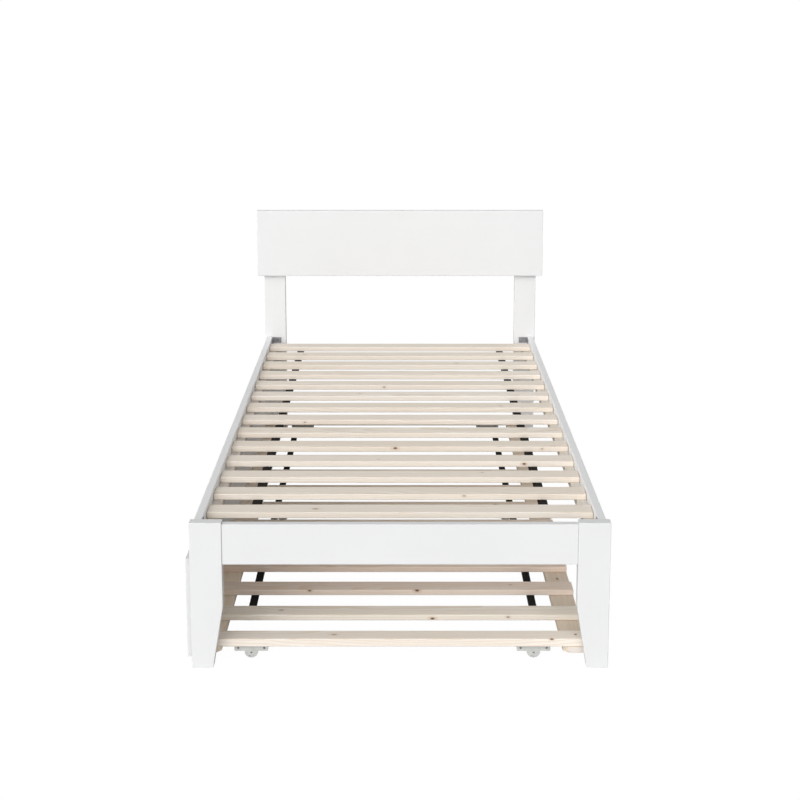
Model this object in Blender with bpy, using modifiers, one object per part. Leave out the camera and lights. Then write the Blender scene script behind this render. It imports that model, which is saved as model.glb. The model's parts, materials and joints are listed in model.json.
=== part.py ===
"""Twin platform bed with a low roll-out trundle.

A painted frame (headboard on two posts, two foot legs, foot rail, side rails)
carries a deck of loose slats tied together by webbing.  Below it a second
slatted frame stands on six fixed rollers and rolls out sideways behind its
painted front panel.

Metres, +Z up.  Origin: centre of the footprint at floor level.  The foot of
the bed faces -Y, the headboard stands at +Y, the trundle rolls out to -X.
"""

import math

import bmesh
import bpy
from mathutils import Matrix, Vector

# ---------------------------------------------------------------- dimensions
GAP = 0.0003                      # clearance between pieces that touch

BED_LENGTH = 1.990                # outside, foot legs to head posts
FOOT_Y = -BED_LENGTH / 2
HEAD_Y = BED_LENGTH / 2

LEG_OUT = 0.5285                  # outer side of legs and posts, from centre
LEG_IN = 0.4472                   # inner side
LEG_THICK = 0.028
LEG_HEIGHT = 0.386
LEG_TOE_IN = 0.4744               # inner side at the floor, after the taper
LEG_TAPER_Z = 0.163               # where taper and straight side would meet
LEG_TAPER_RADIUS = 0.150
POST_HEIGHT = 0.866

RAIL_LOW = 0.2755
RAIL_HIGH = 0.3816
SIDE_RAIL_IN = 0.5005
SIDE_RAIL_OUT = 0.5207
FOOT_RAIL_SET_BACK = 0.002
FOOT_RAIL_THICK = 0.020

PANEL_HALF_WIDTH = 0.552          # headboard panel
PANEL_LOW = 0.627
PANEL_HIGH = 0.884
PANEL_THICK = 0.020

SLAT_COUNT = 14
SLAT_WIDTH = 0.057
SLAT_TOP = 0.3696
SLAT_THICK = 0.0166
SLAT_HALF_LENGTH = 0.4995
SLAT_FIRST = 0.1155               # foot face of the first slat, from FOOT_Y
SLAT_PITCH = 0.1324

LEDGER_IN = 0.4740
LEDGER_HEIGHT = 0.022

STRAP_X = 0.381
STRAP_WIDTH = 0.026
STRAP_THICK = 0.001

BRACKET_LEG = 0.034               # corner bracket
BRACKET_LOW = 0.357
BRACKET_HIGH = 0.379
BRACKET_THICK = 0.002

# trundle
TR_LEFT = -0.5245                 # ends of its slats
TR_RIGHT = 0.4840
TR_PLANK_LEFT = (-0.5250, -0.4590)
TR_PLANK_RIGHT = (0.4187, 0.4837)
TR_PLANK_TOP = 0.0370
TR_PLANK_THICK = 0.0165
TR_NEAR = 0.039                   # foot face of its near end rail
TR_FAR = 1.949                    # head face of its far end rail
TR_END_DEPTH = 0.048
TR_END_TOP = 0.059
TR_SLAT_COUNT = 11
TR_SLAT_TOP = 0.0535
TR_SLAT_FIRST = 0.190
TR_SLAT_PITCH = 0.157
TR_STRAPS = (-0.4036, 0.3635)
TR_STRAP_WIDTH = 0.022
TR_PANEL_OUT = -0.5450
TR_PANEL_IN = -0.5253
TR_PANEL_LOW = 0.012
TR_PANEL_HIGH = 0.2765
TR_PANEL_ENDS = (0.037, 1.953)

WHEEL_RADIUS = 0.017
WHEEL_WIDTH = 0.012
WHEEL_BORE = 0.0031
AXLE_RADIUS = 0.0030
CASTER_X = (-0.383, 0.344)
CASTER_FACE = (0.0505, 0.9930, 1.9270)   # foot face of each caster's housing
HOUSING_DEPTH = 0.020
HOUSING_SHEET = 0.0012
HOUSING_HALF_WIDTH = 0.0435
HOUSING_EAR_LOW = 0.0205
HOUSING_ROUND = 0.0175
HOUSING_ROUND_Z = 0.0195
WINDOW = (0.0072, 0.0023)         # half width, half height of the cheek's window
WINDOW_Z = 0.0066

WHITE = (0.87, 0.87, 0.865)
PINE = (0.72, 0.60, 0.47)
BLACK = (0.012, 0.012, 0.014)
ZINC = (0.36, 0.37, 0.40)
LIGHT_GREY = (0.62, 0.62, 0.60)
WHEEL_GREY = (0.70, 0.70, 0.68)

# ------------------------------------------------------------------ the scene
for old in list(bpy.data.objects):
    bpy.data.objects.remove(old, do_unlink=True)


def collection(name):
    found = bpy.data.collections.get(name) or bpy.data.collections.new(name)
    if found.name not in bpy.context.scene.collection.children:
        bpy.context.scene.collection.children.link(found)
    return found


PARTS = collection("trundle_bed")
CUTTERS = collection("cutters")


def material(name, colour, rough, metal=0.0):
    mat = bpy.data.materials.new(name)
    mat.use_nodes = True
    shader = mat.node_tree.nodes["Principled BSDF"]
    shader.inputs["Base Color"].default_value = (*colour, 1.0)
    shader.inputs["Roughness"].default_value = rough
    shader.inputs["Metallic"].default_value = metal
    return mat


FINISH = {
    "white": (WHITE, 0.45, 0.0),
    "pine": (PINE, 0.6, 0.0),
    "webbing": (BLACK, 0.85, 0.0),
    "zinc": (ZINC, 0.4, 1.0),
    "housing": (LIGHT_GREY, 0.45, 0.4),
    "wheel": (WHEEL_GREY, 0.5, 0.0),
}


def add(name, mesh, finish, location=(0, 0, 0), parent=None):
    """A named sub-part with its own material, hung under an empty if it moves."""
    obj = bpy.data.objects.new(name, mesh)
    obj.location = location
    PARTS.objects.link(obj)
    obj.data.materials.clear()
    obj.data.materials.append(material(name, *FINISH[finish]))
    if parent:
        obj.parent = parent
        obj.matrix_parent_inverse = Matrix.Translation(parent.location).inverted()
    return obj


def ease(obj, width, segments):
    """Eased (sanded) edges."""
    bevel = obj.modifiers.new("eased_edges", "BEVEL")
    bevel.width = width
    bevel.segments = segments
    bevel.limit_method = "ANGLE"
    bevel.angle_limit = math.radians(30)
    return obj


def board(name, low, high, finish, edge=0.001, segments=1, parent=None):
    """A straight board between two corners, its origin at its middle."""
    low, high = Vector(low), Vector(high)
    made = bmesh.new()
    bmesh.ops.create_cube(made, size=1.0)
    bmesh.ops.scale(made, vec=high - low, verts=made.verts)
    mesh = bpy.data.meshes.new(name)
    made.to_mesh(mesh)
    made.free()
    obj = add(name, mesh, finish, (low + high) / 2, parent)
    if edge:
        ease(obj, edge, segments)
    return obj


def outline_mesh(name, points, thickness, stand=None):
    """A flat outline, extruded by its thickness about its own plane and
    welded.  stand turns it out of the XY plane."""
    curve = bpy.data.curves.new(name, "CURVE")
    curve.dimensions = "2D"
    curve.fill_mode = "BOTH"
    curve.extrude = thickness / 2
    spline = curve.splines.new("POLY")
    spline.points.add(len(points) - 1)
    for point, (x, y) in zip(spline.points, points):
        point.co = (x, y, 0, 1)
    spline.use_cyclic_u = True
    guide = bpy.data.objects.new(name + "_outline", curve)
    if stand is not None:
        guide.matrix_world = stand
    bpy.context.scene.collection.objects.link(guide)
    bpy.context.view_layer.update()
    graph = bpy.context.evaluated_depsgraph_get()
    mesh = bpy.data.meshes.new_from_object(guide.evaluated_get(graph))
    mesh.transform(guide.matrix_world)
    mesh.materials.clear()
    bpy.data.objects.remove(guide, do_unlink=True)
    bpy.data.curves.remove(curve)
    tidy = bmesh.new()
    tidy.from_mesh(mesh)
    bmesh.ops.remove_doubles(tidy, verts=tidy.verts, dist=0.00002)
    bmesh.ops.dissolve_limit(
        tidy, angle_limit=math.radians(0.5), verts=tidy.verts, edges=tidy.edges
    )
    bmesh.ops.recalc_face_normals(tidy, faces=tidy.faces)
    tidy.to_mesh(mesh)
    tidy.free()
    mesh.name = name
    return mesh


# the outline's X stays X and its Y becomes world Z: a front view
UPRIGHT = Matrix.Rotation(math.radians(90), 4, "X")
# the outline's X becomes world Y and its Y becomes world Z: a side view
SIDEWAYS = Matrix.Rotation(math.radians(90), 4, "Z") @ UPRIGHT


def settle(obj):
    """The object's evaluated mesh, for a shape made once and used again."""
    bpy.context.view_layer.update()
    graph = bpy.context.evaluated_depsgraph_get()
    return bpy.data.meshes.new_from_object(obj.evaluated_get(graph))


# ------------------------------------------------------------------ bed frame
def leg_outline(side):
    """Front view of a foot leg: straight outside, inside tapering to a toe.
    The taper starts with a soft bend, not a corner."""
    slope = math.atan2(LEG_TOE_IN - LEG_IN, LEG_TAPER_Z)
    run = LEG_TAPER_RADIUS * math.tan(slope / 2)
    points = [
        (LEG_TOE_IN, 0.0),
        (LEG_OUT, 0.0),
        (LEG_OUT, LEG_HEIGHT),
        (LEG_IN, LEG_HEIGHT),
    ]
    for i in range(4):
        turn = slope * i / 3
        points.append(
            (
                LEG_IN + LEG_TAPER_RADIUS * (1 - math.cos(turn)),
                LEG_TAPER_Z + run - LEG_TAPER_RADIUS * math.sin(turn),
            )
        )
    return [(side * x, z) for x, z in points]


for word, side in (("left", -1), ("right", 1)):
    leg = add(
        f"foot_leg_{word}",
        outline_mesh(f"foot_leg_{word}", leg_outline(side), LEG_THICK, UPRIGHT),
        "white",
        (0, FOOT_Y + LEG_THICK / 2, 0),
    )
    ease(leg, 0.0015, 2)
    inner, outer = sorted((side * LEG_IN, side * LEG_OUT))
    board(
        f"head_post_{word}",
        (inner, HEAD_Y - LEG_THICK, 0),
        (outer, HEAD_Y, POST_HEIGHT),
        "white",
        0.0015,
        2,
    )
    inner, outer = sorted((side * SIDE_RAIL_IN, side * SIDE_RAIL_OUT))
    board(
        f"side_rail_{word}",
        (inner, FOOT_Y + LEG_THICK + GAP, RAIL_LOW),
        (outer, HEAD_Y - LEG_THICK - GAP, RAIL_HIGH),
        "white",
        0.0012,
        2,
    )
    inner, outer = sorted((side * LEDGER_IN, side * (SIDE_RAIL_IN - GAP)))
    ledger_top = SLAT_TOP - SLAT_THICK - GAP
    board(
        f"slat_ledger_{word}",
        (inner, FOOT_Y + LEG_THICK + 0.002, ledger_top - LEDGER_HEIGHT),
        (outer, HEAD_Y - LEG_THICK - 0.002, ledger_top),
        "pine",
        0.001,
        1,
    )

board(
    "foot_rail",
    (-LEG_IN + GAP, FOOT_Y + FOOT_RAIL_SET_BACK, RAIL_LOW),
    (LEG_IN - GAP, FOOT_Y + FOOT_RAIL_SET_BACK + FOOT_RAIL_THICK, RAIL_HIGH),
    "white",
    0.0012,
    2,
)

board(
    "headboard_panel",
    (-PANEL_HALF_WIDTH, HEAD_Y - LEG_THICK - GAP - PANEL_THICK, PANEL_LOW),
    (PANEL_HALF_WIDTH, HEAD_Y - LEG_THICK - GAP, PANEL_HIGH),
    "white",
    0.002,
    2,
)

for i in range(SLAT_COUNT):
    foot_face = FOOT_Y + SLAT_FIRST + i * SLAT_PITCH
    board(
        f"slat_{i + 1:02d}",
        (-SLAT_HALF_LENGTH, foot_face, SLAT_TOP - SLAT_THICK),
        (SLAT_HALF_LENGTH, foot_face + SLAT_WIDTH, SLAT_TOP),
        "pine",
        0.0015,
        1,
    )

for word, side in (("left", -1), ("right", 1)):
    strap_top = SLAT_TOP - SLAT_THICK - GAP
    board(
        f"slat_strap_{word}",
        (
            side * STRAP_X - STRAP_WIDTH / 2,
            FOOT_Y + SLAT_FIRST + 0.004,
            strap_top - STRAP_THICK,
        ),
        (
            side * STRAP_X + STRAP_WIDTH / 2,
            FOOT_Y + SLAT_FIRST + (SLAT_COUNT - 1) * SLAT_PITCH + SLAT_WIDTH - 0.004,
            strap_top,
        ),
        "webbing",
        0,
    )


def corner_bracket(name, side, end):
    """A folded L of sheet metal in a corner of the frame: one leaf on the
    leg or post, the other along the side rail."""
    x0 = SIDE_RAIL_IN - GAP
    points = [
        (x0, 0),
        (x0 - BRACKET_LEG, 0),
        (x0 - BRACKET_LEG, BRACKET_THICK),
        (x0 - BRACKET_THICK, BRACKET_THICK),
        (x0 - BRACKET_THICK, BRACKET_LEG),
        (x0, BRACKET_LEG),
    ]
    face = (FOOT_Y if end < 0 else HEAD_Y) - end * (LEG_THICK + GAP)
    shape = [(side * x, face - end * y) for x, y in points]
    add(
        name,
        outline_mesh(name, shape, BRACKET_HIGH - BRACKET_LOW),
        "zinc",
        (0, 0, (BRACKET_HIGH + BRACKET_LOW) / 2),
    )


corner_bracket("corner_bracket_foot_left", -1, -1)
corner_bracket("corner_bracket_foot_right", 1, -1)
corner_bracket("corner_bracket_head_left", -1, 1)
corner_bracket("corner_bracket_head_right", 1, 1)

# -------------------------------------------------------------------- trundle
# Everything that rolls out together hangs under this empty, which lies on the
# line along which the trundle slides.
carriage = bpy.data.objects.new("trundle_carriage", None)
carriage.location = ((TR_LEFT + TR_RIGHT) / 2, 0, 0)
PARTS.objects.link(carriage)

board(
    "trundle_front_panel",
    (TR_PANEL_OUT, FOOT_Y + TR_PANEL_ENDS[0], TR_PANEL_LOW),
    (TR_PANEL_IN, FOOT_Y + TR_PANEL_ENDS[1], TR_PANEL_HIGH),
    "white",
    0.0015,
    2,
    carriage,
)


def plank(name, low_x, high_x, inner):
    """A flat bearer along the bed.  Its two inner corners are clipped."""
    clip = 0.014
    y0, y1 = FOOT_Y + TR_NEAR, FOOT_Y + TR_FAR
    if inner > 0:
        shape = [
            (low_x, y0),
            (high_x - clip, y0),
            (high_x, y0 + clip),
            (high_x, y1 - clip),
            (high_x - clip, y1),
            (low_x, y1),
        ]
    else:
        shape = [
            (low_x + clip, y0),
            (high_x, y0),
            (high_x, y1),
            (low_x + clip, y1),
            (low_x, y1 - clip),
            (low_x, y0 + clip),
        ]
    obj = add(
        name,
        outline_mesh(name, shape, TR_PLANK_THICK),
        "pine",
        (0, 0, TR_PLANK_TOP - TR_PLANK_THICK / 2),
        carriage,
    )
    return ease(obj, 0.001, 1)


plank("trundle_plank_left", *TR_PLANK_LEFT, 1)
plank("trundle_plank_right", *TR_PLANK_RIGHT, -1)

for word, y0 in (("near", TR_NEAR), ("far", TR_FAR - TR_END_DEPTH)):
    board(
        f"trundle_end_rail_{word}",
        (TR_LEFT, FOOT_Y + y0, TR_PLANK_TOP + GAP),
        (TR_RIGHT, FOOT_Y + y0 + TR_END_DEPTH, TR_END_TOP),
        "pine",
        0.0015,
        1,
        carriage,
    )

for i in range(TR_SLAT_COUNT):
    foot_face = FOOT_Y + TR_SLAT_FIRST + i * TR_SLAT_PITCH
    board(
        f"trundle_slat_{i + 1:02d}",
        (TR_LEFT, foot_face, TR_PLANK_TOP + GAP),
        (TR_RIGHT, foot_face + SLAT_WIDTH, TR_SLAT_TOP),
        "pine",
        0.0015,
        1,
        carriage,
    )

for word, x in zip(("left", "right"), TR_STRAPS):
    board(
        f"trundle_strap_{word}",
        (x - TR_STRAP_WIDTH / 2, FOOT_Y + TR_SLAT_FIRST + 0.004, TR_PLANK_TOP - STRAP_THICK),
        (
            x + TR_STRAP_WIDTH / 2,
            FOOT_Y + TR_SLAT_FIRST + (TR_SLAT_COUNT - 1) * TR_SLAT_PITCH + SLAT_WIDTH - 0.004,
            TR_PLANK_TOP,
        ),
        "webbing",
        0,
        parent=carriage,
    )


# ------------------------------------------------------------------- casters
def housing_front():
    """Front view of a caster housing: two ears with round corners, and
    between them a round cheek that hangs past the axle."""
    r, ear = 0.003, HOUSING_HALF_WIDTH
    reach = math.sqrt(HOUSING_ROUND**2 - (HOUSING_EAR_LOW - HOUSING_ROUND_Z) ** 2)
    start = math.atan2(HOUSING_EAR_LOW - HOUSING_ROUND_Z, reach)
    points = []
    for i in range(4):                                  # left ear's lower corner
        turn = math.pi + (math.pi / 2) * i / 3
        points.append(
            (-ear + r + r * math.cos(turn), HOUSING_EAR_LOW + r + r * math.sin(turn))
        )
    sweep = math.pi + 2 * start
    for i in range(13):                                 # round cheek
        turn = math.pi - start + sweep * i / 12
        points.append(
            (
                HOUSING_ROUND * math.cos(turn),
                HOUSING_ROUND_Z + HOUSING_ROUND * math.sin(turn),
            )
        )
    for i in range(4):                                  # right ear's lower corner
        turn = 1.5 * math.pi + (math.pi / 2) * i / 3
        points.append(
            (ear - r + r * math.cos(turn), HOUSING_EAR_LOW + r + r * math.sin(turn))
        )
    points += [(ear, 0.06), (-ear, 0.06)]
    return points


def window_outline():
    """A flat oval low in the cheek, where the wheel's face shows."""
    return [
        (WINDOW[0] * math.cos(turn), WINDOW_Z + WINDOW[1] * math.sin(turn))
        for turn in (2 * math.pi * i / 20 for i in range(20))
    ]


def housing_mesh(name, top):
    """A pressed channel: front and rear cheeks, each with an oval window, a web
    on top, and the riveted axle that holds the wheel.  Origin: on the axle's
    line, at the floor."""
    t, d = HOUSING_SHEET, HOUSING_DEPTH
    section = [
        (-d / 2, 0.001),
        (-d / 2 + t, 0.001),
        (-d / 2 + t, top - t),
        (d / 2 - t, top - t),
        (d / 2 - t, 0.001),
        (d / 2, 0.001),
        (d / 2, top),
        (-d / 2, top),
    ]
    body = bpy.data.objects.new(name, outline_mesh(name, section, 0.11, SIDEWAYS))
    shape = bpy.data.objects.new(
        name + "_shape", outline_mesh(name + "_shape", housing_front(), 0.05, UPRIGHT)
    )
    window = bpy.data.objects.new(
        name + "_window",
        outline_mesh(name + "_window", window_outline(), 0.05, UPRIGHT),
    )
    made = bmesh.new()
    bmesh.ops.create_cone(
        made,
        cap_ends=True,
        segments=16,
        radius1=AXLE_RADIUS,
        radius2=AXLE_RADIUS,
        depth=d + 0.0016,
        matrix=Matrix.Translation((0, 0, WHEEL_RADIUS)) @ UPRIGHT,
    )
    bmesh.ops.recalc_face_normals(made, faces=made.faces)
    mesh = bpy.data.meshes.new(name + "_axle")
    made.to_mesh(mesh)
    made.free()
    axle = bpy.data.objects.new(name + "_axle", mesh)
    for obj in (body, shape, window, axle):
        CUTTERS.objects.link(obj)
        obj.hide_render = True
        obj.display_type = "WIRE"
    steps = ((shape, "INTERSECT"), (window, "DIFFERENCE"), (axle, "UNION"))
    for tool, operation in steps:
        cut = body.modifiers.new(operation.lower(), "BOOLEAN")
        cut.operation = operation
        cut.object = tool
        cut.solver = "EXACT"
    made = settle(body)
    made.name = name
    return made


def wheel_mesh():
    """A turned wheel with a through bore, its axis on local Z."""
    half, r = WHEEL_WIDTH / 2, WHEEL_RADIUS
    profile = [
        (WHEEL_BORE, half),
        (r - 0.0015, half),
        (r, half - 0.0018),
        (r, -half + 0.0018),
        (r - 0.0015, -half),
        (WHEEL_BORE, -half),
    ]
    mesh = bpy.data.meshes.new("wheel_profile")
    count = len(profile)
    mesh.from_pydata(
        [(x, 0, z) for x, z in profile],
        [(i, (i + 1) % count) for i in range(count)],
        [],
    )
    guide = bpy.data.objects.new("wheel_profile", mesh)
    CUTTERS.objects.link(guide)
    guide.hide_render = True
    guide.display_type = "WIRE"
    turn = guide.modifiers.new("turned", "SCREW")
    turn.steps = turn.render_steps = 24
    turn.use_merge_vertices = True
    turn.merge_threshold = 0.00005
    made = settle(guide)
    tidy = bmesh.new()
    tidy.from_mesh(made)
    bmesh.ops.recalc_face_normals(tidy, faces=tidy.faces)
    tidy.to_mesh(made)
    tidy.free()
    made.name = "wheel"
    return made


end_housing = housing_mesh("housing_under_rail", TR_PLANK_TOP)
mid_housing = housing_mesh("housing_under_slat", TR_PLANK_TOP - STRAP_THICK - GAP)
wheel = wheel_mesh()

for side_word, x in zip(("left", "right"), CASTER_X):
    for row_word, face in zip(("near", "mid", "far"), CASTER_FACE):
        y = FOOT_Y + face + HOUSING_DEPTH / 2
        source = mid_housing if row_word == "mid" else end_housing
        add(
            f"caster_bracket_{row_word}_{side_word}",
            source.copy(),
            "housing",
            (x, y, 0),
            carriage,
        )
        roller = add(
            f"caster_wheel_{row_word}_{side_word}",
            wheel.copy(),
            "wheel",
            (x, y, WHEEL_RADIUS),
            carriage,
        )
        roller.rotation_euler = (math.radians(90), 0, 0)
        roller.data.shade_smooth()
        roller.data.set_sharp_from_angle(angle=math.radians(35))

bpy.context.view_layer.update()
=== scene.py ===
"""Looks of the trundle bed: painted wood, raw pine, webbing, sheet metal, casters.
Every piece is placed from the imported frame's own boxes, in metres."""

import json
import math
import random

import bmesh
import bpy
from mathutils import Matrix, Vector


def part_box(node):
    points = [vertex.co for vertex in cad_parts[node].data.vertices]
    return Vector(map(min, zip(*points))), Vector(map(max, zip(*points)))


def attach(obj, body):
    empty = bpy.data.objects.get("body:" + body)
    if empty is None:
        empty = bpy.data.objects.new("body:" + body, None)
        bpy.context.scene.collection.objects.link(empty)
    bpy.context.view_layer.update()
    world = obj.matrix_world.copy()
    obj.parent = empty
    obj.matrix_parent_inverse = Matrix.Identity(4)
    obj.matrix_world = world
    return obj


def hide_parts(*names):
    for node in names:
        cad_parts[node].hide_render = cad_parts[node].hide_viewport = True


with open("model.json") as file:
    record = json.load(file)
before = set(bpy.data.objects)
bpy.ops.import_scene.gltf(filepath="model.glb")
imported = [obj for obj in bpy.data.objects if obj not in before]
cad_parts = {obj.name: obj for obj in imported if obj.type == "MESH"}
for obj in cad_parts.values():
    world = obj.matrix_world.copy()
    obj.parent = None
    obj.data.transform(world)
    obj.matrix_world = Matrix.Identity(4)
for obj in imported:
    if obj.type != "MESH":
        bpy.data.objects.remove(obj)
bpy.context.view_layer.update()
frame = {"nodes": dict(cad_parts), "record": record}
nodes = frame["nodes"]
body_of_node = {
    n: b for b, ns in frame["record"]["behaviour"]["bodies"].items() for n in ns
}

scene = bpy.context.scene
scene.view_settings.view_transform = "Standard"
scene.view_settings.look = "None"

# ------------------------------------------------------------------- camera
cam = bpy.data.cameras.new("camera")
cam.lens = 61.01
cam.sensor_width = 36.0
cam.shift_y = -0.22
cam.clip_start, cam.clip_end = 0.05, 100.0
cam_obj = bpy.data.objects.new("camera", cam)
cam_obj.location = (0.0, -4.2195, 1.6582)
cam_obj.rotation_euler = (math.radians(90 - 9.091), 0, 0)
scene.collection.objects.link(cam_obj)
scene.camera = cam_obj


# ------------------------------------------------------------- shader wiring
class Graph:
    """A material and short ways to wire it."""

    def __init__(self, name):
        self.mat = bpy.data.materials.new(name)
        self.mat.use_nodes = True
        self.tree = self.mat.node_tree
        self.shader = self.tree.nodes["Principled BSDF"]

    def node(self, kind, **props):
        made = self.tree.nodes.new(kind)
        for key, value in props.items():
            setattr(made, key, value)
        return made

    def put(self, socket, value):
        if isinstance(value, bpy.types.NodeSocket):
            self.tree.links.new(value, socket)
        else:
            socket.default_value = value

    def math(self, op, *values, clamp=False):
        made = self.node("ShaderNodeMath", operation=op, use_clamp=clamp)
        for socket, value in zip(made.inputs, values):
            self.put(socket, value)
        return made.outputs[0]

    def vec(self, op, *values):
        made = self.node("ShaderNodeVectorMath", operation=op)
        for socket, value in zip(made.inputs, values):
            self.put(socket, value)
        return made.outputs["Value" if op in ("LENGTH", "DISTANCE", "DOT_PRODUCT") else "Vector"]

    def xyz(self, x, y, z):
        made = self.node("ShaderNodeCombineXYZ")
        for socket, value in zip(made.inputs, (x, y, z)):
            self.put(socket, value)
        return made.outputs[0]

    def split(self, vector):
        made = self.node("ShaderNodeSeparateXYZ")
        self.put(made.inputs[0], vector)
        return made.outputs

    def place(self):
        """Metres in the object's own frame."""
        return self.node("ShaderNodeTexCoord").outputs["Object"]

    def noise(self, vector, scale=1.0, detail=2.0, rough=0.5, distortion=0.0):
        made = self.node("ShaderNodeTexNoise")
        self.put(made.inputs["Vector"], vector)
        made.inputs["Scale"].default_value = scale
        made.inputs["Detail"].default_value = detail
        made.inputs["Roughness"].default_value = rough
        made.inputs["Distortion"].default_value = distortion
        return made.outputs["Fac"]

    def ramp(self, value, *stops):
        made = self.node("ShaderNodeValToRGB")
        self.put(made.inputs["Fac"], value)
        band = made.color_ramp
        while len(band.elements) > len(stops):
            band.elements.remove(band.elements[-1])
        while len(band.elements) < len(stops):
            band.elements.new(1.0)
        for element, (at, colour) in zip(band.elements, stops):
            element.position = at
            element.color = (*colour, 1.0) if len(colour) == 3 else colour
        return made.outputs["Color"]

    def mix(self, fac, a, b, mode="MIX"):
        made = self.node("ShaderNodeMix", data_type="RGBA", blend_type=mode)
        self.put(made.inputs["Factor"], fac)
        for socket, value in ((made.inputs[6], a), (made.inputs[7], b)):
            self.put(socket, (*value, 1.0) if isinstance(value, tuple) and len(value) == 3 else value)
        return made.outputs[2]

    def span(self, value, a, b, c=0.0, d=1.0, kind="LINEAR"):
        made = self.node("ShaderNodeMapRange", interpolation_type=kind)
        for socket, v in zip(made.inputs, (value, a, b, c, d)):
            self.put(socket, v)
        return made.outputs["Result"]

    def bump(self, height, strength, distance, normal=None):
        made = self.node("ShaderNodeBump")
        made.inputs["Strength"].default_value = strength
        made.inputs["Distance"].default_value = distance
        self.put(made.inputs["Height"], height)
        if normal is not None:
            self.put(made.inputs["Normal"], normal)
        return made.outputs["Normal"]

    def finish(self, colour=None, rough=None, normal=None, **fixed):
        if colour is not None:
            self.put(self.shader.inputs["Base Color"], (*colour, 1.0) if isinstance(colour, tuple) and len(colour) == 3 else colour)
        if rough is not None:
            self.put(self.shader.inputs["Roughness"], rough)
        if normal is not None:
            self.put(self.shader.inputs["Normal"], normal)
        for key, value in fixed.items():
            self.shader.inputs[key.replace("_", " ")].default_value = value
        return self.mat


def srgb(*rgb):
    """0-255 sRGB to linear."""
    return tuple(
        (c / 255 / 12.92) if c / 255 <= 0.04045 else ((c / 255 + 0.055) / 1.055) ** 2.4
        for c in rgb
    )


# ----------------------------------------------------------------- materials
def white_paint(name, axis, seed, painted_light_tint=0):
    """Sprayed satin lacquer on sanded wood: an even off-white, a faint orange
    peel, and the wood's grain only just telegraphing through."""
    g = Graph(name)
    x, y, z = g.split(g.place())
    along, across, third = {"X": (x, y, z), "Y": (y, x, z), "Z": (z, x, y)}[axis]
    p = g.xyz(g.math("MULTIPLY", along, 1.0), across, third)
    r = random.Random(seed)
    p = g.vec("ADD", p, (r.uniform(0, 9), r.uniform(0, 9), r.uniform(0, 9)))
    grain = g.noise(g.vec("MULTIPLY", p, (5.0, 160.0, 160.0)), 1.0, 4.0, 0.6)
    pores = g.noise(g.vec("MULTIPLY", p, (60.0, 1100.0, 1100.0)), 1.0, 2.0, 0.5)
    peel = g.noise(p, 420.0, 2.0, 0.5)
    cloud = g.noise(p, 3.0, 3.0, 0.5)
    # the last argument lightens or darkens the paint's grey as painted light or painted shade
    tone = g.ramp(
        cloud, (0.3, srgb(224 + painted_light_tint, 224 + painted_light_tint, 224 + painted_light_tint)), (0.7, srgb(227 + painted_light_tint, 227 + painted_light_tint, 227 + painted_light_tint))
    )
    tone = g.mix(g.span(grain, 0.35, 0.75, 0.0, 0.10), tone, srgb(219 + painted_light_tint, 219 + painted_light_tint, 218 + painted_light_tint))
    rough = g.span(g.math("ADD", g.math("MULTIPLY", cloud, 0.5), g.math("MULTIPLY", peel, 0.5)), 0.3, 0.7, 0.36, 0.47)
    n = g.bump(grain, 0.10, 0.0006)
    n = g.bump(pores, 0.05, 0.0002, n)
    n = g.bump(peel, 0.06, 0.0003, n)
    return g.finish(tone, rough, n, Specular_IOR_Level=0.4)


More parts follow.
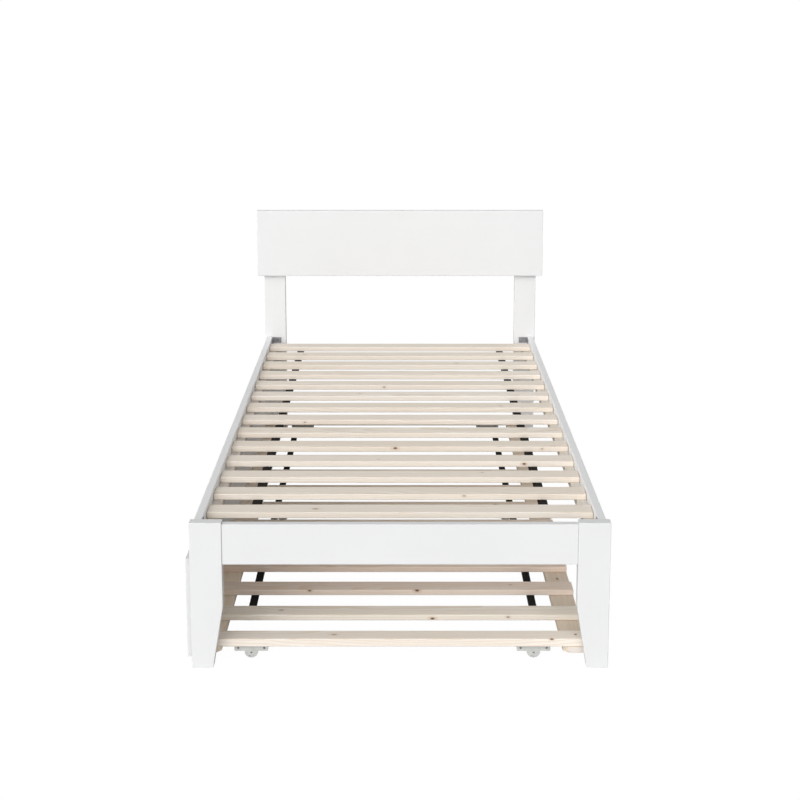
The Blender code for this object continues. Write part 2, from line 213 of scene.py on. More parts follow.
def pine(name, low, high, axis, seed, knots=(), tone=(1.0, 1.0, 1.0), rings=0.42, cut=(188, 163, 136), cut_share=(0.30, 0.55)):
    """Sanded, unfinished pale softwood.  The rings are those of one stem that
    runs along the board, so the faces, edges and ends agree.
    Each knot is (along, across, up, radius, depth of colour); tone is a
    colour cast over the whole stick, on the trundle slats and the ledgers a painted shade;
    rings is the strength of its latewood, cut the colour of its end grain and cut_share how far that covers."""

    def wood(*rgb):
        return tuple(v * t for v, t in zip(srgb(*rgb), tone))

    g = Graph(name)
    x, y, z = g.split(g.place())
    along, across = (x, y) if axis == "X" else (y, x)
    p = g.xyz(along, across, z)
    r = random.Random(seed)
    shift = (r.uniform(0, 20), r.uniform(0, 20), r.uniform(0, 20))
    q = g.vec("ADD", p, shift)
    k = 1 if axis == "X" else 0
    mid = (low[k] + high[k]) / 2
    heart = (mid + r.choice((-1, 1)) * r.uniform(0.006, 0.075), low[2] - r.uniform(0.025, 0.09))
    slow = g.noise(g.vec("MULTIPLY", q, (1.4, 5.0, 5.0)), 1.0, 3.0, 0.5)
    wave = g.noise(g.vec("MULTIPLY", q, (6.0, 34.0, 34.0)), 1.0, 2.0, 0.5)
    da = g.math("SUBTRACT", across, heart[0])
    dt = g.math("SUBTRACT", z, heart[1])
    radius = g.math("SQRT", g.math("ADD", g.math("MULTIPLY", da, da), g.math("MULTIPLY", dt, dt)))
    radius = g.math("ADD", radius, g.math("MULTIPLY", slow, 0.050))
    radius = g.math("ADD", radius, g.math("MULTIPLY", wave, 0.0042))
    dark = None
    ringed = None
    for at_l, at_a, at_z, size, depth in knots:
        d = g.vec("SUBTRACT", p, (at_l, at_a, at_z))
        near = g.vec("LENGTH", g.vec("MULTIPLY", d, (1 / (size * 2.1), 1 / size, 1 / (size * 1.15))))
        near = g.math("ADD", near, g.math("MULTIPLY", g.math("SUBTRACT", wave, 0.5), 0.9))
        swirl = g.span(near, 0.0, 3.2, 1.0, 0.0, "SMOOTHSTEP")
        radius = g.math("ADD", radius, g.math("MULTIPLY", g.math("MULTIPLY", swirl, swirl), size * 1.3))
        core = g.math("MULTIPLY", g.span(near, 0.55, 1.05, 1.0, 0.0, "SMOOTHSTEP"), depth)
        halo = g.math("MULTIPLY", g.span(near, 0.9, 2.6, 1.0, 0.0, "SMOOTHSTEP"), depth * 0.42)
        dark = core if dark is None else g.math("MAXIMUM", dark, core)
        ringed = halo if ringed is None else g.math("MAXIMUM", ringed, halo)
    spacing = r.uniform(0.0036, 0.0058)
    ring = g.math("FRACT", g.math("DIVIDE", radius, spacing))
    late = g.math(
        "MULTIPLY",
        g.span(ring, 0.30, 0.90, 0.0, 1.0, "SMOOTHSTEP"),
        g.span(ring, 0.93, 1.0, 1.0, 0.0, "SMOOTHSTEP"),
    )
    streak = g.noise(g.vec("MULTIPLY", q, (1.6, 95.0, 95.0)), 1.0, 4.0, 0.62)
    fibre = g.noise(g.vec("MULTIPLY", q, (26.0, 1250.0, 1250.0)), 1.0, 3.0, 0.6)
    ray = g.noise(g.vec("MULTIPLY", q, (110.0, 420.0, 420.0)), 1.0, 2.0, 0.5)
    w = r.uniform(-1, 1)
    early = wood(242 + 2 * w, 236 + 2 * w, 227 + 3 * w)
    middle = wood(237 + 2 * w, 228 + 2 * w, 217 + 3 * w)
    colour = g.mix(g.span(slow, 0.30, 0.70), early, middle)
    colour = g.mix(g.math("MULTIPLY", late, rings), colour, wood(220, 198, 173))
    colour = g.mix(g.span(streak, 0.42, 0.78, 0.0, 0.34), colour, wood(224, 206, 186))
    colour = g.mix(g.span(fibre, 0.50, 0.85, 0.0, 0.30), colour, wood(208, 189, 168))
    colour = g.mix(g.span(ray, 0.60, 0.9, 0.0, 0.16), colour, wood(249, 243, 235))
    if dark is not None:
        colour = g.mix(ringed, colour, wood(190, 152, 114))
        colour = g.mix(dark, colour, srgb(92, 62, 42))
    facing = g.math("ABSOLUTE", g.split(g.node("ShaderNodeTexCoord").outputs["Normal"])[0 if axis == "X" else 1])
    ends = g.span(facing, 0.75, 0.95)
    colour = g.mix(g.math("MULTIPLY", ends, g.span(fibre, 0.3, 0.8, *cut_share)), colour, srgb(*cut))
    rough = g.span(g.math("ADD", g.math("MULTIPLY", late, -0.35), fibre), 0.1, 0.9, 0.54, 0.74)
    n = g.bump(late, 0.12, 0.0004)
    n = g.bump(fibre, 0.22, 0.00035, n)
    n = g.bump(g.noise(g.vec("MULTIPLY", q, (14.0, 120.0, 120.0)), 1.0, 2.0, 0.5), 0.10, 0.0006, n)
    return g.finish(colour, rough, n, Specular_IOR_Level=0.14)


def webbing(name, centre_x, painted_shade_scale=1.0):
    """Black polypropylene webbing in a herringbone weave; the last argument scales all its colours down as painted
    shade, 0.45 for the trundle straps.
    """

    def dye_in_painted_shade(*rgb):
        return tuple(v * painted_shade_scale for v in srgb(*rgb))

    g = Graph(name)
    x, y, z = g.split(g.place())
    u = g.math("SUBTRACT", x, centre_x)
    side = g.math("ABSOLUTE", u)
    rib = g.math("PINGPONG", g.math("DIVIDE", side, 0.00433), 0.5)
    diagonal = g.math("ADD", g.math("DIVIDE", y, 0.0021), g.math("MULTIPLY", rib, 2.0))
    yarn = g.math("SINE", g.math("MULTIPLY", diagonal, 2 * math.pi))
    warp = g.math("SINE", g.math("DIVIDE", g.math("MULTIPLY", u, 2 * math.pi), 0.00072))
    height = g.math("ADD", g.math("MULTIPLY", yarn, 0.6), g.math("MULTIPLY", warp, 0.4))
    fuzz = g.noise(g.place(), 2600.0, 2.0, 0.6)
    wear = g.noise(g.place(), 40.0, 3.0, 0.5)
    colour = g.mix(g.span(height, -1, 1), dye_in_painted_shade(9, 6, 5), dye_in_painted_shade(26, 20, 15))
    colour = g.mix(g.span(fuzz, 0.55, 0.8, 0.0, 0.5), colour, dye_in_painted_shade(46, 38, 30))
    colour = g.mix(g.span(wear, 0.5, 0.8, 0.0, 0.25), colour, dye_in_painted_shade(35, 27, 21))
    rough = g.span(fuzz, 0.2, 0.8, 0.72, 0.92)
    n = g.bump(height, 0.7, 0.00025)
    n = g.bump(fuzz, 0.3, 0.0001, n)
    return g.finish(colour, rough, n, Sheen_Weight=0.04, Sheen_Roughness=0.5, Specular_IOR_Level=0.12)


def zinc(name, dark=0.0):
    """Bright zinc plating on pressed steel: a faint spangle and brushed marks."""
    g = Graph(name)
    p = g.place()
    cell = g.node("ShaderNodeTexVoronoi")
    g.put(cell.inputs["Vector"], p)
    cell.inputs["Scale"].default_value = 420.0
    grain = g.noise(g.vec("MULTIPLY", p, (900.0, 120.0, 900.0)), 1.0, 3.0, 0.6)
    smear = g.noise(p, 90.0, 3.0, 0.5)
    colour = g.mix(
        g.span(cell.outputs["Distance"], 0.0, 0.8), srgb(150 - dark, 152 - dark, 158 - dark), srgb(176 - dark, 178 - dark, 184 - dark)
    )
    colour = g.mix(g.span(smear, 0.45, 0.8, 0.0, 0.5), colour, srgb(118 - dark, 119 - dark, 124 - dark))
    rough = g.span(g.math("ADD", g.math("MULTIPLY", smear, 0.6), g.math("MULTIPLY", grain, 0.4)), 0.3, 0.75, 0.28, 0.5)
    n = g.bump(grain, 0.12, 0.0001)
    return g.finish(colour, rough, n, Metallic=0.9)


def coated_steel(name):
    """Light grey powder coat on pressed sheet."""
    g = Graph(name)
    p = g.place()
    peel = g.noise(p, 1300.0, 2.0, 0.5)
    lump = g.noise(p, 260.0, 2.0, 0.5)
    dust = g.noise(p, 55.0, 4.0, 0.6)
    colour = g.mix(g.span(dust, 0.4, 0.75), srgb(204, 204, 201), srgb(188, 188, 184))
    colour = g.mix(g.span(peel, 0.6, 0.8, 0.0, 0.25), colour, srgb(218, 218, 216))
    rough = g.span(g.math("ADD", g.math("MULTIPLY", peel, 0.5), g.math("MULTIPLY", dust, 0.5)), 0.3, 0.7, 0.36, 0.52)
    n = g.bump(peel, 0.25, 0.0001)
    n = g.bump(lump, 0.12, 0.0003, n)
    return g.finish(colour, rough, n, Metallic=0.15)


def nylon(name, centre):
    """Moulded light grey wheel: lathe-fine rings from the mould, a dusty mottle, and the colour darker towards the
    tread.
    """
    g = Graph(name)
    p = g.place()
    d = g.vec("SUBTRACT", p, centre)
    x, y, z = g.split(d)
    r = g.math("SQRT", g.math("ADD", g.math("MULTIPLY", x, x), g.math("MULTIPLY", z, z)))
    rings = g.math("SINE", g.math("MULTIPLY", r, 2 * math.pi / 0.0009))
    dust = g.noise(p, 160.0, 4.0, 0.6)
    colour = g.mix(g.span(dust, 0.4, 0.8), srgb(238, 238, 235), srgb(222, 221, 217))
    colour = g.mix(g.span(r, 0.0158, 0.017, 0.0, 0.45), colour, srgb(186, 184, 178))
    rough = g.span(dust, 0.3, 0.8, 0.34, 0.55)
    n = g.bump(rings, 0.08, 0.0001)
    n = g.bump(dust, 0.10, 0.0002, n)
    return g.finish(colour, rough, n)


def steel(name):
    """Plated screw steel."""
    g = Graph(name)
    p = g.place()
    turned = g.noise(p, 1500.0, 2.0, 0.5)
    colour = g.mix(g.span(turned, 0.35, 0.7), srgb(150, 150, 152), srgb(112, 112, 115))
    rough = g.span(turned, 0.3, 0.7, 0.26, 0.42)
    return g.finish(colour, rough, g.bump(turned, 0.12, 0.0001), Metallic=1.0)


def yellow_zinc(name):
    """Yellow-passivated screw, dulled."""
    g = Graph(name)
    p = g.place()
    stain = g.noise(p, 700.0, 2.0, 0.5)
    colour = g.mix(g.span(stain, 0.35, 0.7), srgb(196, 176, 142), srgb(166, 142, 110))
    rough = g.span(stain, 0.3, 0.7, 0.42, 0.6)
    return g.finish(colour, rough, g.bump(stain, 0.1, 0.0001), Metallic=0.55)


# --------------------------------------------------------- CAD nodes, refined
def refine(obj, width, segments):
    """Joins the imported facets, rounds what is still a corner, and shades it
    smoothly.  The node's own points stay as they are."""
    mesh = obj.data
    if "custom_normal" in mesh.attributes:
        mesh.attributes.remove(mesh.attributes["custom_normal"])
    for poly in mesh.polygons:
        poly.use_smooth = True
    weld = obj.modifiers.new("weld", "WELD")
    weld.merge_threshold = 0.00002
    flat = obj.modifiers.new("flat", "DECIMATE")
    flat.decimate_type = "DISSOLVE"
    flat.angle_limit = math.radians(1.0)
    if width:
        soft = obj.modifiers.new("soft_edges", "BEVEL")
        soft.width = width
        soft.segments = segments
        soft.limit_method = "ANGLE"
        soft.angle_limit = math.radians(20)
        soft.harden_normals = False
    even = obj.modifiers.new("even_shading", "WEIGHTED_NORMAL")
    even.keep_sharp = True
    even.weight = 80


def dress(node, mat, width=0.0004, segments=2):
    obj = nodes[node]
    obj.data.materials.clear()
    obj.data.materials.append(mat)
    refine(obj, width, segments)


WHITE = {
    "headboard_panel": "X",
    "foot_rail": "X",
    "side_rail_left": "Y",
    "side_rail_right": "Y",
    "foot_leg_left": "Z",
    "foot_leg_right": "Z",
    "head_post_left": "Z",
    "head_post_right": "Z",
    "trundle_front_panel": "Y",
}
for i, (node, axis) in enumerate(WHITE.items()):
    # one white paint for every part, made lighter on the side rails and head parts as painted light and darker on the
    # trundle's front panel as painted shade
    painted_light_tint = {"head": 1, "trun": -8, "side": 9}.get(node[:4], 0)
    dress(node, white_paint("paint_" + node, axis, 11 + i, painted_light_tint), 0.0005, 2)

# knots where the eye meets them: slat number, along, side ('top' or 'front'),
# height share, radius, depth
DECK_KNOTS = {
    1: [(-0.2200, "top", 0.45, 0.0044, 0.42)],
    2: [(0.1720, "front", 0.70, 0.0026, 0.40)],
    3: [(0.2310, "top", 0.70, 0.0030, 0.35)],
    4: [(0.3567, "front", 0.55, 0.0030, 0.9), (-0.0620, "top", 0.35, 0.0026, 0.4)],
    5: [(-0.0140, "front", 0.72, 0.0036, 0.85), (0.4220, "front", 0.6, 0.0022, 0.45)],
    6: [(0.1500, "top", 0.60, 0.0028, 0.4)],
    7: [(-0.3010, "front", 0.50, 0.0022, 0.5)],
    8: [(0.3300, "top", 0.40, 0.0034, 0.4)],
    9: [(-0.1360, "top", 0.55, 0.0030, 0.5)],
    10: [(-0.0550, "front", 0.60, 0.0026, 0.55)],
    12: [(0.2060, "top", 0.50, 0.0034, 0.45)],
    13: [(-0.3600, "top", 0.35, 0.0030, 0.5)],
}
TRUNDLE_KNOTS = {
    1: [(0.0872, "front", 0.36, 0.0034, 0.9), (0.2893, "front", 0.62, 0.0024, 0.6), (-0.3200, "top", 0.5, 0.0035, 0.45)],
    2: [(-0.2520, "front", 0.85, 0.0026, 0.8), (0.0476, "front", 0.90, 0.0034, 0.9), (0.3100, "top", 0.6, 0.0026, 0.4)],
    3: [(0.1240, "top", 0.4, 0.0040, 0.5)],
    4: [(-0.1540, "top", 0.6, 0.0032, 0.5)],
    6: [(0.3120, "top", 0.5, 0.0045, 0.6)],
    8: [(-0.2900, "top", 0.4, 0.0030, 0.5)],
    10: [(0.1020, "top", 0.55, 0.0042, 0.55)],
}


def board_knots(found, low, high):
    out = []
    for at, face, share, size, depth in found:
        if face == "top":
            out.append((at, low[1] + share * (high[1] - low[1]), high[2] - 0.0005, size, depth))
        else:
            out.append((at, low[1] + 0.0004, low[2] + share * (high[2] - low[2]), size, depth))
    return out


for i in range(1, 15):
    node = f"slat_{i:02d}"
    low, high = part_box(node)
    mat = pine(
        "pine_" + node, low, high, "X", 100 + i, board_knots(DECK_KNOTS.get(i, []), low, high),
        tone=(1, 1, 1) if i == 1 else (0.988, 0.985, 0.980),
    )
    dress(node, mat, 0.0005, 2)
# the trundle slats under the deck are cast darker and warmer as painted shade and painted warm bounce light; the first,
# nearest the near end, stays almost neutral
TRUNDLE_PAINTED_SHADE_TONES = {1: (1.0, 1.0, 0.985), 2: (0.965, 0.90, 0.87), 3: (1.0, 0.905, 0.865)}
for i in range(1, 12):
    node = f"trundle_slat_{i:02d}"
    low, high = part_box(node)
    mat = pine(
        "pine_" + node, low, high, "X", 200 + i, board_knots(TRUNDLE_KNOTS.get(i, []), low, high),
        tone=TRUNDLE_PAINTED_SHADE_TONES.get(i, (0.97, 0.92, 0.88)),
    )
    dress(node, mat, 0.0005, 2)
low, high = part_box("trundle_end_rail_near")
dress(
    "trundle_end_rail_near",
    pine("pine_end_near", low, high, "X", 307, [(0.3893, low[1] + 0.0004, high[2] - 0.0008, 0.0024, 0.90), (-0.1700, (low[1] + high[1]) / 2, high[2], 0.0040, 0.45)]),
    0.0005,
    2,
)
low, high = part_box("trundle_end_rail_far")
dress("trundle_end_rail_far", pine("pine_end_far", low, high, "X", 308), 0.0005, 2)
# the ledgers are darkened as painted shade in the narrow slots under the slats, the left one more, for the shade the
# left rail casts
LEDGER_PAINTED_SHADE_TONES = {"left": (0.75, 0.76, 0.78), "right": (0.86, 0.88, 0.90)}
for side in ("left", "right"):
    low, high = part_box(f"trundle_plank_{side}")
    knots = [(-0.536, 0.4513, high[2], 0.0030, 0.9), (0.12, 0.446, high[2], 0.0045, 0.6)] if side == "right" else [(-0.30, -0.489, high[2], 0.0045, 0.6)]
    cast = (0.86, 0.80, 0.72) if side == "right" else (1.06, 1.0, 0.93)
    dress(
        f"trundle_plank_{side}",
        pine(f"pine_plank_{side}", low, high, "Y", 320 + len(side), knots, cast, 0.24, (222, 214, 208), (0.78, 0.95)),
        0.0005,
        2,
    )
    low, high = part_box(f"slat_ledger_{side}")
    dress(f"slat_ledger_{side}", pine(f"pine_ledger_{side}", low, high, "Y", 330 + len(side), (), LEDGER_PAINTED_SHADE_TONES[side], 0.30), 0.0004, 2)

bracket_zinc = zinc("zinc_bracket")
for end in ("foot", "head"):
    for side in ("left", "right"):
        dress(f"corner_bracket_{end}_{side}", bracket_zinc, 0.0006, 3)
housing_coat = coated_steel("housing_coat")
for row in ("near", "mid", "far"):
    for side in ("left", "right"):
        dress(f"caster_bracket_{row}_{side}", housing_coat, 0.00025, 2)

# ------------------------------------------------------------- added pieces
PIECES = bpy.data.collections.new("pieces")
scene.collection.children.link(PIECES)
screw_steel = steel("screw_steel")
screw_yellow = yellow_zinc("screw_yellow")


def piece(name, bm_or_mesh, mat, body, smooth=35):
    if isinstance(bm_or_mesh, bmesh.types.BMesh):
        mesh = bpy.data.meshes.new(name)
        bm_or_mesh.to_mesh(mesh)
        bm_or_mesh.free()
    else:
        mesh = bm_or_mesh
    mesh.materials.clear()
    mesh.materials.append(mat)
    if smooth:
        mesh.shade_smooth()
        mesh.set_sharp_from_angle(angle=math.radians(smooth))
    obj = bpy.data.objects.new(name, mesh)
    PIECES.objects.link(obj)
    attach(obj, body)
    return obj


def lathe(profile, steps, closed=False):
    """Turns (radius, height) points about Z; ends on the axis if radius is 0."""
    made = bmesh.new()
    rows = []
    for radius, height in profile:
        if radius < 1e-9:
            rows.append([made.verts.new((0, 0, height))])
        else:
            rows.append(
                [
                    made.verts.new(
                        (
                            radius * math.cos(2 * math.pi * i / steps),
                            radius * math.sin(2 * math.pi * i / steps),
                            height,
                        )
                    )
                    for i in range(steps)
                ]
            )
    pairs = list(zip(rows, rows[1:])) + ([(rows[-1], rows[0])] if closed else [])
    for a, b in pairs:
        for i in range(steps):
            j = (i + 1) % steps
            if len(a) == 1 and len(b) == 1:
                continue
            if len(a) == 1:
                made.faces.new((a[0], b[j], b[i]))
            elif len(b) == 1:
                made.faces.new((a[i], a[j], b[0]))
            else:
                made.faces.new((a[i], a[j], b[j], b[i]))
    bmesh.ops.recalc_face_normals(made, faces=made.faces)
    return made


def screw_head(radius, height):
    """A pan head with a cross recess, standing on z=0, its shank below."""
    body = lathe(
        [
            (0, height),
            (radius * 0.55, height * 0.96),
            (radius * 0.84, height * 0.72),
            (radius, height * 0.22),
            (radius, 0),
            (radius * 0.5, 0),
            (radius * 0.5, -0.003),
            (0, -0.003),
        ],
        24,
    )
    mesh = bpy.data.meshes.new("screw_body")
    body.to_mesh(mesh)
    body.free()
    head = bpy.data.objects.new("screw_body", mesh)
    scene.collection.objects.link(head)
    tools = []
    for turn in (0, math.pi / 2):
        cut = bmesh.new()
        bmesh.ops.create_cube(cut, size=1.0)
        for v in cut.verts:
            taper = 0.62 if v.co.z < 0 else 1.0
            v.co.x *= radius * 1.12 * taper
            v.co.y *= radius * 0.27 * taper
            v.co.z = v.co.z * height * 1.3 + height * 0.95
        bmesh.ops.rotate(cut, cent=(0, 0, 0), matrix=Matrix.Rotation(turn, 3, "Z"), verts=cut.verts)
        cut_mesh = bpy.data.meshes.new("cross")
        cut.to_mesh(cut_mesh)
        cut.free()
        tool = bpy.data.objects.new("cross", cut_mesh)
        scene.collection.objects.link(tool)
        tools.append(tool)
        mod = head.modifiers.new("cross", "BOOLEAN")
        mod.operation = "DIFFERENCE"
        mod.object = tool
        mod.solver = "EXACT"
    bpy.context.view_layer.update()
    graph = bpy.context.evaluated_depsgraph_get()
    made = bpy.data.meshes.new_from_object(head.evaluated_get(graph))
    for o in (head, *tools):
        bpy.data.objects.remove(o, do_unlink=True)
    return made


TURNS = {
    "+Z": Matrix.Identity(4),
    "-Z": Matrix.Rotation(math.pi, 4, "X"),
    "-Y": Matrix.Rotation(math.pi / 2, 4, "X"),
    "+Y": Matrix.Rotation(-math.pi / 2, 4, "X"),
    "+X": Matrix.Rotation(math.pi / 2, 4, "Y"),
    "-X": Matrix.Rotation(-math.pi / 2, 4, "Y"),
}


def copies(name, source, places, mat, body, smooth=35):
    """One piece from copies of a small mesh at (point, facing, turn)."""
    made = bmesh.new()
    for point, facing, turn in places:
        part = source.copy()
        part.transform(Matrix.Translation(point) @ TURNS[facing] @ Matrix.Rotation(turn, 4, "Z"))
        made.from_mesh(part)
        bpy.data.meshes.remove(part)
    return piece(name, made, mat, body, smooth)


rng = random.Random(5)
small = screw_head(0.0034, 0.0016)
wood_screw = screw_head(0.0042, 0.0012)
ear_screw = screw_head(0.0029, 0.0014)


def turn():
    return rng.uniform(0, math.pi)


# corner bracket screws: one through each leaf
for end in ("foot", "head"):
    for side in ("left", "right"):
        low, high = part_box(f"corner_bracket_{end}_{side}")
        s = 1 if side == "right" else -1
        e = 1 if end == "head" else -1
        z = (low.z + high.z) / 2
        inner = low.x if s > 0 else high.x
        rail = (high.x if s > 0 else low.x) - s * 0.002
        near = low.y if e > 0 else high.y
        post = (high.y if e > 0 else low.y) - e * 0.002
        places = [
            (Vector((inner + s * 0.0125, post, z)), "-Y" if e > 0 else "+Y", turn()),
            (Vector((rail, near + e * 0.0125, z)), "-X" if s > 0 else "+X", turn()),
        ]
        copies(f"bracket_screws_{end}_{side}", small, places, screw_steel, "bed_frame")

# ledgers are screwed to the side rails from inside
for side in ("left", "right"):
    low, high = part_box(f"slat_ledger_{side}")
    s = 1 if side == "right" else -1
    face = low.x if s > 0 else high.x
    places = [
        (Vector((face, low.y + 0.09 + (high.y - low.y - 0.18) * i / 6, (low.z + high.z) / 2)), "-X" if s > 0 else "+X", turn())
        for i in range(7)
    ]
    copies(f"ledger_screws_{side}", small, places, screw_yellow, "bed_frame")

# trundle: end rails screwed down to the planks, slats screwed from below
for word in ("near", "far"):
    low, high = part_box(f"trundle_end_rail_{word}")
    y = (low.y + high.y) / 2
    places = [(Vector((x, y, high.z)), "+Z", turn()) for x in (-0.4905, 0.4528)]
    copies(f"end_rail_screws_{word}", wood_screw, places, screw_yellow, "trundle")
for side in ("left", "right"):
    low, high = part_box(f"trundle_plank_{side}")
    x = (low.x + high.x) / 2
    places = []
    for i in range(1, 12):
        a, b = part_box(f"trundle_slat_{i:02d}")
        for dy in (-0.014, 0.014):
            places.append((Vector((x + (0.008 if dy > 0 else -0.008), (a.y + b.y) / 2 + dy, low.z)), "-Z", turn()))
    copies(f"plank_screws_{side}", small, places, screw_yellow, "trundle")

# casters: ear screws, rivet heads, and a turned wheel on each axle
rivet = lathe(
    [(0, 0.0013), (0.0013, 0.0012), (0.0024, 0.0008), (0.0030, 0.0), (0.0, 0.0)], 28
)
rivet_mesh = bpy.data.meshes.new("rivet")
rivet.to_mesh(rivet_mesh)
rivet.free()
for row in ("near", "mid", "far"):
    for side in ("left", "right"):
        low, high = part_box(f"caster_bracket_{row}_{side}")
        wlow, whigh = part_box(f"caster_wheel_{row}_{side}")
        centre = (wlow + whigh) / 2
        front, rear = centre.y - 0.010, centre.y + 0.010
        places = [(Vector((centre.x + s * 0.0335, front, high.z - 0.0080)), "-Y", turn()) for s in (-1, 1)]
        copies(f"caster_screws_{row}_{side}", ear_screw, places, screw_steel, "trundle")
        copies(
            f"caster_rivet_{row}_{side}",
            rivet_mesh,
            [(Vector((centre.x, front, centre.z)), "-Y", 0), (Vector((centre.x, rear, centre.z)), "+Y", 0)],
            screw_steel,
            "trundle",
        )
        r, h = 0.017, 0.006
        profile = [
            (0.0031, 0.0062), (0.0058, 0.0062), (0.0064, 0.0056), (0.0068, 0.0040),
            (0.0122, 0.0036), (0.0130, 0.0044), (0.0136, 0.0058), (0.0146, 0.0060),
            (0.0158, 0.0057), (0.0166, 0.0048), (r, 0.0036), (r, 0.0010), (0.01685, 0.0),
            (r, -0.0010), (r, -0.0036), (0.0166, -0.0048), (0.0158, -0.0057), (0.0146, -0.0060),
            (0.0136, -0.0058), (0.0130, -0.0044), (0.0122, -0.0036), (0.0068, -0.0040),
            (0.0064, -0.0056), (0.0058, -0.0062), (0.0031, -0.0062),
        ]
        wheel = lathe(profile, 56, closed=True)
        bmesh.ops.transform(wheel, matrix=Matrix.Translation(centre) @ TURNS["-Y"], verts=wheel.verts)
        obj = piece(
            f"wheel_{row}_{side}_turned", wheel, nylon(f"nylon_{row}_{side}", tuple(centre)), f"wheel_{row}_{side}", 40
        )
        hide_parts(f"caster_wheel_{row}_{side}")


# webbing: one continuous strap under the slats, slack between them
def strap(node, slats, sag, body):
    low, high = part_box(node)
    centre = (low.x + high.x) / 2
    half = (high.x - low.x) / 2
    rows = []
    for i, name in enumerate(slats):
        a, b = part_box(name)
        start, stop = a.y, b.y
        if i == 0:
            start = low.y
        if i == len(slats) - 1:
            stop = high.y
        for k in range(5):
            rows.append((start + (stop - start) * k / 4, 0.0))
        if i < len(slats) - 1:
            c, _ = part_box(slats[i + 1])
            gap = c.y - b.y
            droop = sag * rng.uniform(0.7, 1.15)
            for k in range(1, 8):
                t = k / 8
                rows.append((b.y + gap * t, -droop * 4 * t * (1 - t)))
    across = 6
    made = bmesh.new()
    top = high.z - 0.0001
    grid = []
    for y, dz in rows:
        line = []
        for k in range(across + 1):
            u = k / across * 2 - 1
            edge = -0.00012 * (abs(u) > 0.9)
            line.append(made.verts.new((centre + u * half, y, top + dz + edge)))
        grid.append(line)
    for a, b in zip(grid, grid[1:]):
        for k in range(across):
            made.faces.new((a[k], b[k], b[k + 1], a[k + 1]))
    # the trundle straps' colours are scaled to 0.45 as painted shade under the bed
    obj = piece(node + "_webbing", made, webbing("webbing_" + node, centre, 0.45 if body == "trundle" else 1.0), body, 0)
    obj.data.shade_smooth()
    thick = obj.modifiers.new("thickness", "SOLIDIFY")
    thick.thickness = 0.0008
    thick.offset = 1.0 if obj.data.polygons[0].normal.z < 0 else -1.0
    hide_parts(node)
    return obj


deck_slats = [f"slat_{i:02d}" for i in range(1, 15)]
trundle_slats = [f"trundle_slat_{i:02d}" for i in range(1, 12)]
for side in ("left", "right"):
    strap(f"slat_strap_{side}", deck_slats, 0.0018, "bed_frame")
    strap(f"trundle_strap_{side}", trundle_slats, 0.0016, "trundle")


# staples that hold the webbing to every slat but the sixth trundle slat
def staple():
    made = bmesh.new()
    r = 0.0005
    path = [(-0.0055, -0.0015), (-0.0055, 0.0002), (-0.0050, 0.0006), (0.0050, 0.0006), (0.0055, 0.0002), (0.0055, -0.0015)]
    rings = []
    for i, (x, z) in enumerate(path):
        before = Vector((x - path[i - 1][0], 0, z - path[i - 1][1])).normalized() if i else None
        after = Vector((path[i + 1][0] - x, 0, path[i + 1][1] - z)).normalized() if i + 1 < len(path) else None
        t = ((before or after) + (after or before)).normalized()
        side = Vector((-t.z, 0, t.x))
        rings.append(
            [
                made.verts.new(Vector((x, 0, z)) + side * (r * math.cos(a)) + Vector((0, 1, 0)) * (r * math.sin(a)))
                for a in [math.pi / 4 + math.pi / 2 * k for k in range(4)]
            ]
        )
    for a, b in zip(rings, rings[1:]):
        for k in range(4):
            made.faces.new((a[k], a[(k + 1) % 4], b[(k + 1) % 4], b[k]))
    made.faces.new(rings[0])
    made.faces.new(list(reversed(rings[-1])))
    bmesh.ops.recalc_face_normals(made, faces=made.faces)
    mesh = bpy.data.meshes.new("staple")
    made.to_mesh(mesh)
    made.free()
    return mesh


staple_mesh = staple()
for node, slats, body in (
    ("slat_strap_left", deck_slats, "bed_frame"),
    ("slat_strap_right", deck_slats, "bed_frame"),
    ("trundle_strap_left", trundle_slats, "trundle"),
    ("trundle_strap_right", trundle_slats, "trundle"),
):
    low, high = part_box(node)
    x = (low.x + high.x) / 2
    places = []
    for name in slats:
        if name == "trundle_slat_06":
            continue
        a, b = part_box(name)
        for dy in (-0.012, 0.012):
            places.append((Vector((x + rng.uniform(-0.002, 0.002), (a.y + b.y) / 2 + dy, high.z - 0.0009)), "-Z", rng.uniform(-0.12, 0.12)))
    copies(node + "_staples", staple_mesh, places, screw_steel, body, 30)

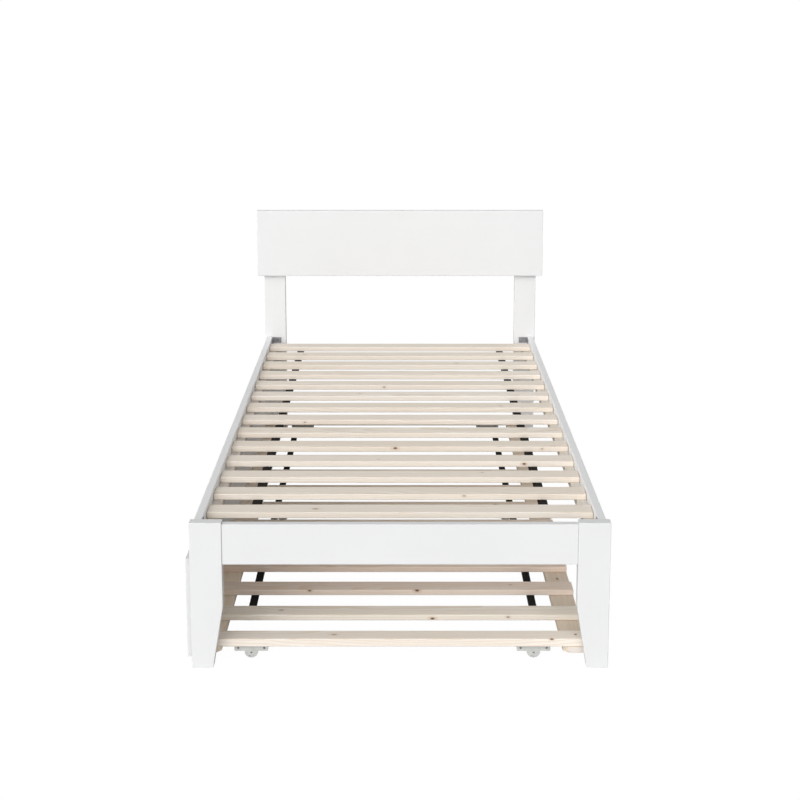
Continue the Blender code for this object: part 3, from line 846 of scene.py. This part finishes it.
# -------------------------------------------------------------- floor, light
floor_mesh = bpy.data.meshes.new("floor")
fb = bmesh.new()
bmesh.ops.create_grid(fb, x_segments=1, y_segments=1, size=60)
bmesh.ops.translate(fb, vec=(0, 0, -0.0004), verts=fb.verts)
fb.to_mesh(floor_mesh)
fb.free()
floor = bpy.data.objects.new("floor", floor_mesh)
scene.collection.objects.link(floor)
fg = Graph("floor_white")
fg.tree.nodes.remove(fg.shader)
out = next(n for n in fg.tree.nodes if n.type == "OUTPUT_MATERIAL")
diffuse = fg.node("ShaderNodeBsdfDiffuse")
diffuse.inputs["Color"].default_value = (0.60, 0.60, 0.60, 1)
glow = fg.node("ShaderNodeEmission")
glow.inputs["Color"].default_value = (1, 1, 1, 1)
glow.inputs["Strength"].default_value = 1.035
share = fg.node("ShaderNodeMixShader")
share.inputs["Fac"].default_value = 0.95
fg.tree.links.new(diffuse.outputs[0], share.inputs[1])
fg.tree.links.new(glow.outputs[0], share.inputs[2])
ray = fg.node("ShaderNodeLightPath")
pick = fg.node("ShaderNodeMixShader")
fg.tree.links.new(ray.outputs["Is Camera Ray"], pick.inputs[0])
fg.tree.links.new(diffuse.outputs[0], pick.inputs[1])
fg.tree.links.new(share.outputs[0], pick.inputs[2])
fg.tree.links.new(pick.outputs[0], out.inputs["Surface"])
floor.data.materials.append(fg.mat)

world = bpy.data.worlds.new("studio")
scene.world = world
world.use_nodes = True
wt = world.node_tree
back = wt.nodes["Background"]
back.inputs["Color"].default_value = (1, 1, 1, 1)
back.inputs["Strength"].default_value = 0.24
seen = wt.nodes.new("ShaderNodeBackground")
seen.inputs["Color"].default_value = (1, 1, 1, 1)
seen.inputs["Strength"].default_value = 1.02
path = wt.nodes.new("ShaderNodeLightPath")
choose = wt.nodes.new("ShaderNodeMixShader")
wt.links.new(path.outputs["Is Camera Ray"], choose.inputs[0])
wt.links.new(back.outputs[0], choose.inputs[1])
wt.links.new(seen.outputs[0], choose.inputs[2])
wt.links.new(choose.outputs[0], wt.nodes["World Output"].inputs["Surface"])


def sun(name, azimuth, elevation, strength, angle):
    """Light from that side: azimuth 0 comes from the foot, 90 from +X."""
    lamp = bpy.data.lights.new(name, "SUN")
    lamp.energy = strength
    lamp.angle = math.radians(angle)
    lamp.color = (0.990, 0.996, 1.0)
    obj = bpy.data.objects.new(name, lamp)
    a, e = math.radians(azimuth), math.radians(elevation)
    away = Vector((math.sin(a) * math.cos(e), -math.cos(a) * math.cos(e), math.sin(e)))
    obj.rotation_euler = (-away).to_track_quat("-Z", "Y").to_euler()
    scene.collection.objects.link(obj)


sun("front_left", -52, 24, 1.62, 58)
sun("front_right", -5, 24, 1.88, 58)
sun("back_left", -128, 18, 0.62, 60)
sun("back_right", 118, 18, 0.72, 60)
